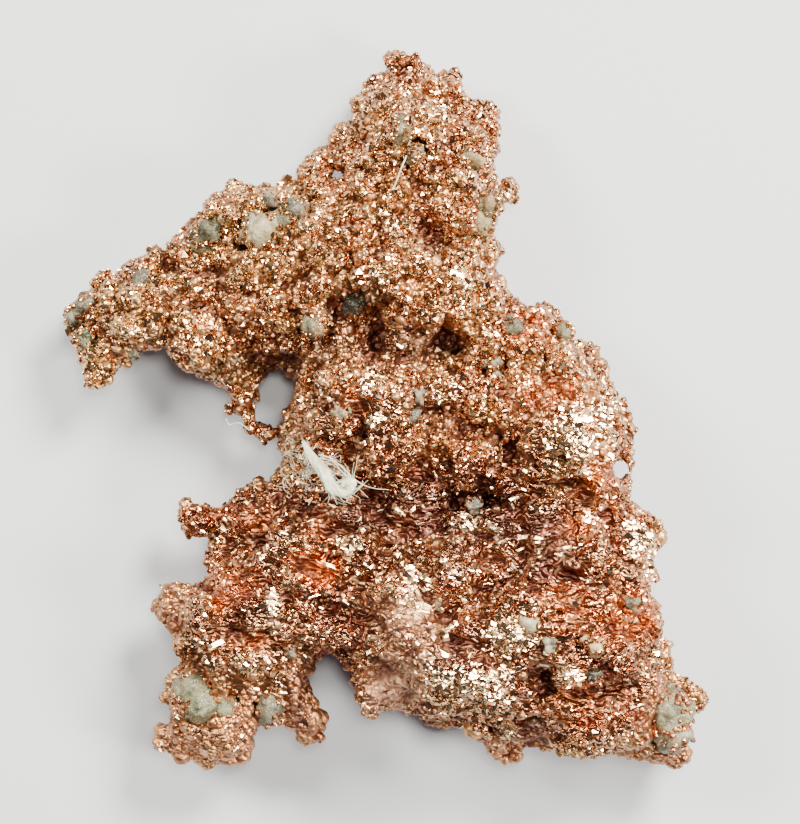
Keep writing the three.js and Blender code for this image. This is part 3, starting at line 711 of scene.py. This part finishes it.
smooth_faces = grain[skin_tris[:, 0]] < 0.6  # the little faces stay flat where the copper is grainy
tint = copper_tint(skin, cavity, rim, np.full(len(skin), -0.2))
crease = (0.25 + 0.75 * foil) * (1 - 0.55 * zone(skin, PINK))
put("copper_mass_skin", skin, skin_tris, "copper", ["copper_mass"], smooth_faces, tint, crease)

# Shapes of crystals: corners about a middle, and faces


def icosahedron():
    """Twelve corners and twenty faces, for rounded crystals."""
    gold = (1 + 5**0.5) / 2
    signs = list(product((-1, 1), repeat=2))
    points = [(s * 1.0, t * gold, 0.0) for s, t in signs]
    points += [(0.0, s * 1.0, t * gold) for s, t in signs]
    points += [(t * gold, 0.0, s * 1.0) for s, t in signs]
    points = np.array(points) / math.hypot(1, gold)
    faces = []
    for i, j, k in product(range(12), repeat=3):
        if i < j and i < k and j != k:
            p, q, r = points[i], points[j], points[k]
            close = max(np.linalg.norm(p - q), np.linalg.norm(q - r), np.linalg.norm(r - p)) < 1.2
            if close and np.dot(np.cross(q - p, r - p), p) > 0:
                faces.append((i, j, k))
    return points, np.array(faces)


def octahedron():
    """Six corners and eight faces, the usual copper crystal."""
    points = [(1, 0, 0), (-1, 0, 0), (0, 1, 0), (0, -1, 0), (0, 0, 1), (0, 0, -1)]
    faces = [(0, 2, 4), (2, 1, 4), (1, 3, 4), (3, 0, 4), (2, 0, 5), (1, 2, 5), (3, 1, 5), (0, 3, 5)]
    return np.array(points, float), np.array(faces)


def tile():
    """A square plate with a smaller top."""
    corners = ((-1, -1), (1, -1), (1, 1), (-1, 1))
    points = [(x * reach, y * reach, z) for z, reach in ((-1, 1), (1, 0.7)) for x, y in corners]
    faces = [(0, 3, 2), (0, 2, 1), (4, 5, 6), (4, 6, 7)]
    for i in range(4):
        j = (i + 1) % 4
        faces += [(i, j, j + 4), (i, j + 4, i + 4)]
    return np.array(points), np.array(faces)


def ball():
    """The icosahedron with each face cut in four: 80 faces."""
    points, faces, middle = [list(p) for p in ICOSAHEDRON[0]], [], {}
    for face in ICOSAHEDRON[1]:
        mids = []
        for i in range(3):
            ends = tuple(sorted((face[i], face[(i + 1) % 3])))
            if ends not in middle:
                middle[ends] = len(points)
                point = np.array(points[ends[0]]) + points[ends[1]]
                points.append(list(point / np.linalg.norm(point)))
            mids.append(middle[ends])
        (p, q, r), (x, y, z) = face, mids
        faces += [(p, x, z), (q, y, x), (r, z, y), (x, y, z)]
    return np.array(points), np.array(faces)


ICOSAHEDRON = icosahedron()
OCTAHEDRON = octahedron()
TILE = tile()
BALL = ball()

# Copper crystals over the whole skin

# The way a face points when it throws the key light at a camera straight above, the way the creases run,
# and how far a flat crystal strays from the skin's own slope or from the one that gleams
GLEAMING = np.array([0.23, 0.306, 0.924])
ALONG = np.array([0.966, -0.26, 0.0])
STRAY = {"skin": 0.35, "light": 0.11}

corner_a, corner_b, corner_c = (skin[skin_tris[:, i]] for i in range(3))
face_normal = np.cross(corner_b - corner_a, corner_c - corner_a)
face_area = np.linalg.norm(face_normal, axis=1) / 2
face_normal = face_normal / (2 * face_area[:, None] + 1e-12)
face_cavity, face_rim, face_satin, face_foil, face_grain = (
    values[skin_tris[:, 0]] for values in (cavity, rim, satin, foil, grain)
)


def scatter(count, weight):
    """Points on the skin with their face's normal, and the hollow and the rim there."""
    share = face_area * weight
    chosen = rng.choice(len(skin_tris), count, p=share / share.sum())
    u, v = rng.random(count), rng.random(count)
    flip = u + v > 1
    u, v = np.where(flip, 1 - u, u)[:, None], np.where(flip, 1 - v, v)[:, None]
    a, b, c = corner_a[chosen], corner_b[chosen], corner_c[chosen]
    return a + u * (b - a) + v * (c - a), face_normal[chosen], face_cavity[chosen], face_rim[chosen]


def turns(count):
    """Random turns as matrices."""
    q = rng.normal(size=(count, 4))
    w, x, y, z = (q / np.linalg.norm(q, axis=1, keepdims=True)).T
    rows = [
        [1 - 2 * (y * y + z * z), 2 * (x * y - z * w), 2 * (x * z + y * w)],
        [2 * (x * y + z * w), 1 - 2 * (x * x + z * z), 2 * (y * z - x * w)],
        [2 * (x * z - y * w), 2 * (y * z + x * w), 1 - 2 * (x * x + y * y)],
    ]
    return np.array(rows).transpose(2, 0, 1)


def lying(facing, flat_on):
    """Turns that lay flat crystals on the skin, or on the slope that gleams."""
    up = facing if flat_on == "skin" else GLEAMING
    up = up + rng.normal(0, STRAY[flat_on], facing.shape)
    up /= np.linalg.norm(up, axis=1, keepdims=True)
    side = ALONG + rng.normal(0, 0.5, facing.shape)
    side -= up * (side * up).sum(1, keepdims=True)
    side /= np.linalg.norm(side, axis=1, keepdims=True)
    return np.stack([side, np.cross(up, side), up], 2)


def placed(shape, corners, turn, at):
    """One crystal at each place, as one mesh."""
    points = np.einsum("nij,nkj->nki", turn, corners) + at[:, None, :]
    faces = shape[1][None] + len(shape[0]) * np.arange(len(at))[:, None, None]
    return points.reshape(-1, 3), faces.reshape(-1, 3)


def crystals(
    name, count, weight, sizes, shape, stretch=(1, 1, 1), flat_on=None, glint=0.1, smooth=False, sink=0.0
):
    """Crystals of one shape over the skin, turned at random, or laid flat on the skin or on the slope that
    throws the light back. Most are near the smaller of the two sizes."""
    at, facing, sunk, edge = scatter(count, weight)
    size = sizes[0] + (sizes[1] - sizes[0]) * rng.random(count) ** 2.0
    keep = at[:, 2] > 0.8 * size + 0.1  # none where they would reach the floor
    at, facing, sunk, edge, size = (values[keep] for values in (at, facing, sunk, edge, size))
    count, sides = len(at), len(shape[0])
    reach = rng.uniform(0.6, 1.3, (count, 3)) * size[:, None] * stretch
    corners = shape[0][None] * reach[:, None, :]
    uneven = (0.94, 1.06) if smooth else (0.85, 1.15)
    corners *= rng.uniform(*uneven, (count, sides, 1))
    turn = lying(facing, flat_on) if flat_on else turns(count)
    verts, faces = placed(shape, corners, turn, at - facing * (sink * size)[:, None])
    # painted shade and highlight: the tint darkens where a crystal sits in a hollow, and the glint share
    # whitens it towards GLINT, less in hollows
    tint = copper_tint(at, sunk, edge, rng.uniform(-0.4, 0.4, count))
    tint[:, :3] = mix(tint[:, :3], GLINT, glint * (1 - 0.8 * sunk))
    rough = tint[:, 3] + rng.uniform(-0.08, 0.12, count) - 0.1 * glint + 0.1 * smooth
    tint[:, 3] = rough.clip(0.05, 0.8)
    tint = np.repeat(tint, sides, 0)
    crease = np.full(len(tint), 0.3 if smooth else 0.1)
    put(name, settle(verts), faces, "copper", smooth=smooth, colours=tint, creases=crease)


# Where crystals grow: on open skin, less in hollows, holes and the calm zones
place = (corner_a + corner_b + corner_c) / 3
clear = 1 - zone(place, HOLES)
calm = (1 - 0.7 * zone(place, PINK)) * (1 - 0.5 * zone(place, PURPLE)) * (1 - 0.65 * zone(place, ORANGE_REFLECTIONS))
calm *= 1 - 0.6 * zone(place, DARK)
facing_up = np.clip(0.35 + 0.9 * face_normal[:, 2], 0.15, 1.0)
open_skin = facing_up * (1.05 - face_cavity) * (0.3 + 0.7 * clear)
open_skin *= 0.3 + 0.7 * calm
edged = face_rim * np.clip(place[:, 2] - 1, 0, 1) * np.clip(face_normal[:, 2] + 0.6, 0, 1)
level = 1 - 0.85 * face_rim
lumpy = open_skin * (face_grain**2 + 0.8 * edged * (1 - face_satin))
grainy = 0.02 + face_grain**2 + 0.6 * edged * (1 - face_satin) + 0.9 * zone(place, PINK)
grainy *= open_skin
plated = open_skin * face_foil * level
gleaming = open_skin * (zone(place, GLEAM) ** 2 + 0.008) * level
on_rim = open_skin * edged * face_grain**2
on_toes = open_skin * edged * face_satin
beaded = open_skin * face_satin

# The grains are two pieces, because each stays under 200,000 triangles
for part in range(2):
    crystals(f"copper_grains_{part + 1}", 16000, grainy, (0.10, 0.27), OCTAHEDRON)
crystals("copper_crystals", 3700, lumpy, (0.16, 0.42), ICOSAHEDRON)
crystals("copper_granules", 4000, lumpy, (0.18, 0.42), ICOSAHEDRON, smooth=True)
crystals("copper_rim_crystals", 700, on_rim, (0.2, 0.6), ICOSAHEDRON, smooth=True, sink=0.25)
crystals("copper_flakes", 1800, plated, (0.09, 0.24), TILE, (1.8, 0.6, 0.3), "skin", 0.4, sink=0.1)
crystals("copper_gleams", 6500, gleaming, (0.08, 0.34), TILE, (1.7, 0.6, 0.25), "light", 0.4, sink=0.15)
crystals("copper_beads", 1500, beaded, (0.16, 0.42), ICOSAHEDRON, smooth=True, sink=0.3, glint=0.0)
crystals("copper_rim_knobs", 420, on_toes, (0.28, 0.68), BALL, smooth=True, sink=0.5, glint=0.0)

# Milky quartz: each CAD grain, roughened, in its own shade

# Linear colours; a grain that isn't listed has the plain shade
QUARTZ_SHADES = {
    "quartz_neck_edge": (0.50, 0.43, 0.31),
    "quartz_arm_large": (0.44, 0.42, 0.34),
    "quartz_arm_upper": (0.17, 0.18, 0.18),
    "quartz_wrist": (0.13, 0.125, 0.11),
    "quartz_throat": (0.34, 0.30, 0.24),
    "quartz_neck_upper": (0.42, 0.36, 0.26),
    "quartz_arm_edge": (0.26, 0.28, 0.21),
    # near black: the pocket's shade painted onto its grain, a painted shade
    "quartz_dark_pocket": (0.05, 0.05, 0.045),
    "quartz_foot_left": (0.30, 0.33, 0.26),
    "quartz_foot_small": (0.28, 0.29, 0.26),
    "quartz_foot_right": (0.34, 0.35, 0.29),
    "quartz_skirt_middle": (0.72, 0.72, 0.66),
    "quartz_skirt_right": (0.78, 0.66, 0.46),
    "quartz_hand_upper": (0.28, 0.29, 0.25),
    "quartz_hand_lower": (0.22, 0.26, 0.19),
    "quartz_head": (0.32, 0.31, 0.26),
}
PLAIN_SHADE = (0.33, 0.33, 0.27)
QUARTZ_TONE = (0.80, 0.73, 0.63)  # every shade is darkened and warmed by this
STAIN = np.array([0.30, 0.17, 0.10])
# How far a grain stands out beyond its CAD solid, in millimetres
QUARTZ_GROWTH = {
    "quartz_foot_left": 0.36,
    "quartz_foot_small": 0.36,
    "quartz_foot_right": 0.3,
    "quartz_skirt_middle": 0.3,
    "quartz_arm_edge": 0.26,
    "quartz_neck_edge": 0.24,
}
PLAIN_GROWTH = 0.14
# Small grains of quartz between the copper crystals: x, y, size, lightness, brownness
QUARTZ_SPECKS = [
    (-7.9, 14.2, 0.55, 0.20, 0.3),
    (-17.4, 3.9, 0.55, 0.30, 0.2),
    (-10.3, 3.4, 0.50, 0.18, 0.6),
    (-13.1, 6.2, 0.42, 0.24, 0.5),
    (-3.0, -0.2, 0.62, 0.28, 1.0),
    (2.2, 0.9, 0.65, 0.24, 0.4),
    (1.9, -0.5, 0.50, 0.30, 0.3),
    (7.5, 2.5, 0.46, 0.28, 0.4),
    (6.0, -6.5, 0.62, 0.40, 0.1),
    (11.0, -15.6, 0.70, 0.52, 0.3),
    (14.9, -16.0, 0.46, 0.46, 0.4),
    (13.9, -17.9, 0.56, 0.20, 0.2),
    (16.5, -13.0, 0.70, 0.20, 0.7),
    (-6.4, -16.5, 0.58, 0.19, 0.8),
    (12.0, 3.0, 0.42, 0.30, 0.4),
    (3.6, -13.0, 0.44, 0.24, 0.5),
]
QUARTZ_FACE = 0.14  # size of the faces of a grain, and of a speck
SPECK_FACE = 0.09
RING = 12  # copper crystals round a speck
BORDER_SIZES = (0.08, 0.28)


def quartz_tint(points, shade):
    """A grain's shade, clouded, with brown stains."""
    cloud = 0.9 + 0.7 * noise(points, 1.0, 62) + 0.5 * noise(points, 0.4, 65)
    tint = shade * cloud.clip(0.35, 1.8)[:, None]
    tint = mix(tint, STAIN, 0.75 * np.clip(3 * noise(points, 0.7, 63) - 0.9, 0, 1))
    return np.column_stack([tint.clip(0.01, 0.95), np.ones(len(tint))])


def quartz_grain(name, cad):
    """Makes one grain, and picks the places on it where copper crystals close round it."""
    verts, tris = arrays(cad.data)
    verts, tris = remeshed(verts / MM, tris, QUARTZ_FACE)
    out = normals(verts, tris)
    rough = facets(stirred(verts, 0.2, 0.6, 66), 0.9, 61, 0.35) + facets(verts, 0.35, 64, 0.2)
    rough += 0.28 * fractal(verts, 1.3, 60, 3)
    verts = settle(verts + out * (rough + QUARTZ_GROWTH.get(name, PLAIN_GROWTH))[:, None])
    shade = np.array(QUARTZ_SHADES.get(name, PLAIN_SHADE)) * QUARTZ_TONE
    tint = quartz_tint(verts, np.tile(shade, (len(verts), 1)))
    put(f"{name}_grain", verts, tris, "quartz", [name], smooth=True, colours=tint)
    up, height = out[:, 2], verts[:, 2]
    flank = np.flatnonzero((up < 0.8) & (up > -0.3) & (height > height.max() - 1.4))
    flecked = np.flatnonzero((noise(verts, 0.6, 67) > 0.45) & (up > 0.3))
    chosen = list(rng.choice(flank, min(len(flank) // 5, 160)))
    chosen += list(rng.choice(flecked, min(len(flecked) // 40, 8)))
    return [verts[vertex] for vertex in chosen]


def quartz_speck(x, y, size):
    """One small grain on the evened-out skin, and the places of the copper crystals round it."""
    near = np.hypot(even_top[:, 0] - x, even_top[:, 1] - y) < 0.5
    height = even_top[near, 2].max()
    points, faces = BALL
    uneven = rng.uniform(0.7, 1.2, (len(points), 1))
    points = points * uneven * size * rng.uniform(0.75, 1.25, 3) * (1, 1, 0.7)
    ring = []
    for angle in rng.uniform(0, 2 * math.pi, RING):
        aside = np.array([math.cos(angle), math.sin(angle), 0.0])
        ring.append(np.array([x, y, height]) + rng.uniform(0.7, 1.05) * size * aside)
    return (points + (x, y, height - 0.3 * size), faces), ring


even_top = wide[skin_out[:, 2] > 0.2]
borders = []
for name, cad in sorted(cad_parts.items()):
    if name.startswith("quartz"):
        borders += quartz_grain(name, cad)

specks, speck_shades = [], []
for x, y, size, light, brown in QUARTZ_SPECKS:
    speck, ring = quartz_speck(x, y, size)
    specks.append(speck)
    speck_shades.append((light, (0.97 - 0.17 * brown) * light, (0.86 - 0.3 * brown) * light))
    borders += ring

# Copper crystals that close round each grain of quartz
at = np.array(borders)
size = rng.uniform(*BORDER_SIZES, len(at))
reach = rng.uniform(0.6, 1.3, (len(at), 3)) * size[:, None]
verts, faces = placed(ICOSAHEDRON, ICOSAHEDRON[0][None] * reach[:, None, :], turns(len(at)), at)
# each is tinted as though a little in a hollow: a touch of painted shade
tint = copper_tint(at, np.full(len(at), 0.2), np.zeros(len(at)), rng.uniform(-0.4, 0.3, len(at)))
tint = np.repeat(tint, len(ICOSAHEDRON[0]), 0)
crease = np.full(len(tint), 0.25)
put("copper_round_quartz", settle(verts), faces, "copper", colours=tint, creases=crease)

verts, tris = remeshed(*joined(specks), SPECK_FACE)
spots = np.array(QUARTZ_SPECKS)
nearest = np.hypot(verts[:, :1] - spots[:, 0], verts[:, 1:2] - spots[:, 1]).argmin(1)
rough = facets(stirred(verts, 0.15, 0.5, 58), 0.55, 57, 0.5) + 0.14 * fractal(verts, 0.6, 59, 3)
verts = verts + normals(verts, tris) * rough[:, None]
tint = quartz_tint(verts, np.array(speck_shades)[nearest])
put("quartz_specks", settle(verts), tris, "quartz", smooth=True, colours=tint)

# Lint: a twist of strands along the CAD tuft, loose fibres round it, and a few hairs

TWIST_STEPS = 80
STRANDS = 12
TWIST_FIBRES = 150
LAST_START = 66  # a fibre starts on the twist before this step
FIBRE_STEPS = (8, 24)  # how many steps of the twist a fibre follows
LOOSE_FIBRES = 64
UNHELD_HEIGHT = 6.0  # height of a hair where there is no copper under it
# The twist's middle line: x, y, and how far it lies below the tuft's top
TWIST_LINE = [
    (-5.6, -2.1, 1.0),
    (-5.0, -3.1, 0.7),
    (-4.2, -4.2, 0.55),
    (-3.7, -5.1, 0.5),
    (-3.05, -5.55, 0.45),
    (-2.45, -5.4, 0.4),
    (-2.3, -4.95, 0.35),
    (-2.65, -4.75, 0.3),
    (-2.95, -5.1, 0.25),
]
# Hairs: radius at the start and at the end, then x, y and the height over the copper
HAIRS = [
    (0.05, 0.02, [
        (-4.5, -3.0, 0.5), (-3.6, -3.3, 0.7), (-2.8, -4.0, 0.6),
        (-1.8, -4.9, 0.6), (-0.8, -5.3, 0.5), (0.2, -5.4, 0.4),
    ]),
    (0.025, 0.025, [
        (-4.4, -3.2, 0.6), (-3.5, -3.5, 0.6), (-2.9, -4.2, 0.5), (-1.9, -4.8, 0.7), (-1.1, -5.3, 0.5),
    ]),
    (0.05, 0.05, [(1.4, 17.1, 0.6), (0.95, 16.0, 0.8), (0.5, 14.8, 0.7)]),
    (0.03, 0.03, [(-11.0, -0.6, 0.3), (-10.8, -1.0, 0.4), (-10.1, -0.9, 0.3), (-9.4, -1.4, 0.2)]),
]
# Where loose fibres start, as ranges of x and of y: left of the tuft, and on its upper right
LEFT_OF_TUFT = ((-6.8, -4.9), (-5.6, -2.2))
RIGHT_OF_TUFT = ((-4.4, -3.2), (-4.2, -3.2))


def tube(points, radius, sides):
    """A closed tube along a line of points."""
    radius = np.broadcast_to(radius, len(points))
    along = np.gradient(points, axis=0)
    along /= np.linalg.norm(along, axis=1, keepdims=True)
    side = np.cross(along[0], (0.3, 0.2, 1.0))
    verts = []
    for i, point in enumerate(points):
        side = side - along[i] * np.dot(side, along[i])
        side /= np.linalg.norm(side)
        other = np.cross(along[i], side)
        for k in range(sides):
            angle = 2 * math.pi * k / sides
            verts.append(point + radius[i] * (math.cos(angle) * side + math.sin(angle) * other))
    faces = []
    for i in range(len(points) - 1):
        for k in range(sides):
            p, q = i * sides + k, i * sides + (k + 1) % sides
            faces += [(p, q, q + sides), (p, q + sides, p + sides)]
    last = (len(points) - 1) * sides
    for k in range(1, sides - 1):
        faces += [(0, k + 1, k), (last, last + k, last + k + 1)]
    return np.array(verts), np.array(faces)


def curve_through(points, count):
    """An even, smooth line through a few points."""
    points = np.asarray(points, float)
    ends = np.vstack([2 * points[0] - points[1], points, 2 * points[-1] - points[-2]])
    line = []
    for t in np.linspace(0, len(points) - 1 - 1e-6, count):
        i = int(t)
        u = t - i
        p0, p1, p2, p3 = ends[i : i + 4]
        slope = p2 - p0
        bend = 2 * p0 - 5 * p1 + 4 * p2 - p3
        swing = 3 * p1 - p0 - 3 * p2 + p3
        line.append(0.5 * (2 * p1 + slope * u + bend * u**2 + swing * u**3))
    return np.array(line)


def height_over(x, y):
    """Height of the copper's top near (x, y)."""
    away = np.hypot(cad_copper[:, 0] - x, cad_copper[:, 1] - y)
    near = cad_copper[away < 0.9]
    return float(near[:, 2].max()) if len(near) else UNHELD_HEIGHT


def hair(points, radius, count):
    """A thin tube whose points lie a little over the copper."""
    lifted = [(x, y, height_over(x, y) + lift) for x, y, lift in points]
    return tube(curve_through(lifted, count), radius, 5)


def lint_twist():
    """Strands wound round the tuft's middle line, with thin fibres that stray from them."""
    top = float(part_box("lint_tuft")[1][2]) / MM
    spine = curve_through([(x, y, top - below) for x, y, below in TWIST_LINE], TWIST_STEPS)
    way = np.linspace(0, 1, TWIST_STEPS)
    girth = np.interp(way, [0, 0.1, 0.25, 0.65, 0.9, 1], [0.3, 0.7, 1.0, 1.0, 0.6, 0.35])
    strands = []
    for strand in range(STRANDS):
        angle = 2 * math.pi * strand / STRANDS + 6.0 * way + rng.uniform(-0.4, 0.4)
        ring = 0.24 * girth * rng.uniform(0.7, 1.1)
        shift = np.stack([ring * np.cos(angle), 0.8 * ring * np.cos(angle + 0.8), ring * np.sin(angle)], 1)
        strands.append(tube(spine + shift, 0.12 * girth + 0.01, 7))
    for _ in range(TWIST_FIBRES):
        start = rng.integers(0, LAST_START)
        end = min(TWIST_STEPS - 1, start + rng.integers(*FIBRE_STEPS))
        steps = np.cumsum(np.cumsum(rng.normal(0, 0.012, (end - start, 3)), axis=0), axis=0)
        aside = rng.normal(0, 0.2, 3) * girth[start]
        strands.append(tube(spine[start:end] + steps + aside, 0.014, 4))
    return joined(strands)


def loose_hairs():
    """The hairs, and short fibres that wander round the tuft."""
    hairs = [hair(points, np.linspace(start, end, 40), 40) for start, end, points in HAIRS]
    for fibre in range(LOOSE_FIBRES):
        across, along = LEFT_OF_TUFT if fibre % 3 else RIGHT_OF_TUFT
        x, y = rng.uniform(*across), rng.uniform(*along)
        way = np.cumsum(rng.normal(0, 0.32, (6, 2)), axis=0)
        hairs.append(hair([(x + dx, y + dy, rng.uniform(0.3, 0.8)) for dx, dy in way], 0.012, 24))
    return joined(hairs)


verts, faces = lint_twist()
put("lint_twist", settle(verts), faces, "lint", ["lint_tuft"], smooth=True)
verts, faces = loose_hairs()
put("loose_fibres", settle(verts), faces, "lint", smooth=True)

# Floor, lights and camera, in metres

FLOOR_SIZE = 2.4
MIDDLE_HEIGHT = 6 * MM  # the camera's distance is to this height, and the lamps point at it
SHOWN = 56.44 * MM  # how much the picture's longer side shows at that height
OFFSET = (0.96 * MM, -0.14 * MM)  # from the middle of the CAD box to the middle of the picture
DISTANCE = 0.26
SENSOR = 36
SKY_COLOUR = (0.92, 0.90, 0.97, 1)
SKY_STRENGTH = 0.14
# Lamps: name, place, width, power, colour
LIGHTS = [
    ("key", (0.15, 0.20, 0.25), 0.13, 4.4, (1.0, 0.93, 0.69)),
    ("side", (0.26, -0.08, 0.22), 0.09, 1.7, (1.0, 0.93, 0.69)),
    ("fill", (-0.22, 0.12, 0.24), 0.10, 1.6, (1.0, 0.94, 0.71)),
    ("over", (0.03, 0.05, 0.42), 0.08, 1.0, (1.0, 0.94, 0.71)),
]

bpy.ops.mesh.primitive_plane_add(size=FLOOR_SIZE, location=(0, 0, 0))
floor = bpy.context.object
floor.name = "floor"
floor.data.materials.append(floor_material())

world = bpy.data.worlds.new("studio")
bpy.context.scene.world = world
world.use_nodes = True
sky = world.node_tree.nodes["Background"]
sky.inputs["Color"].default_value = SKY_COLOUR
sky.inputs["Strength"].default_value = SKY_STRENGTH

for name, spot, size, power, colour in LIGHTS:
    data = bpy.data.lights.new(name, "AREA")
    data.shape = "DISK"
    data.size = size
    data.energy = power
    data.color = colour
    lamp = bpy.data.objects.new(name, data)
    bpy.context.scene.collection.objects.link(lamp)
    lamp.location = spot
    aim = Vector((0, 0, MIDDLE_HEIGHT)) - Vector(spot)
    lamp.rotation_euler = aim.to_track_quat("-Z", "Y").to_euler()

camera_data = bpy.data.cameras.new("camera")
camera_data.sensor_width = SENSOR
camera_data.lens = SENSOR * DISTANCE / SHOWN
camera_data.clip_start, camera_data.clip_end = 0.01, 10
camera = bpy.data.objects.new("camera", camera_data)
bpy.context.scene.collection.objects.link(camera)
bpy.context.scene.camera = camera
centre = (cad_low + cad_high) / 2
camera.location = (centre.x + OFFSET[0], centre.y + OFFSET[1], MIDDLE_HEIGHT + DISTANCE)
camera.rotation_euler = (0, 0, 0)
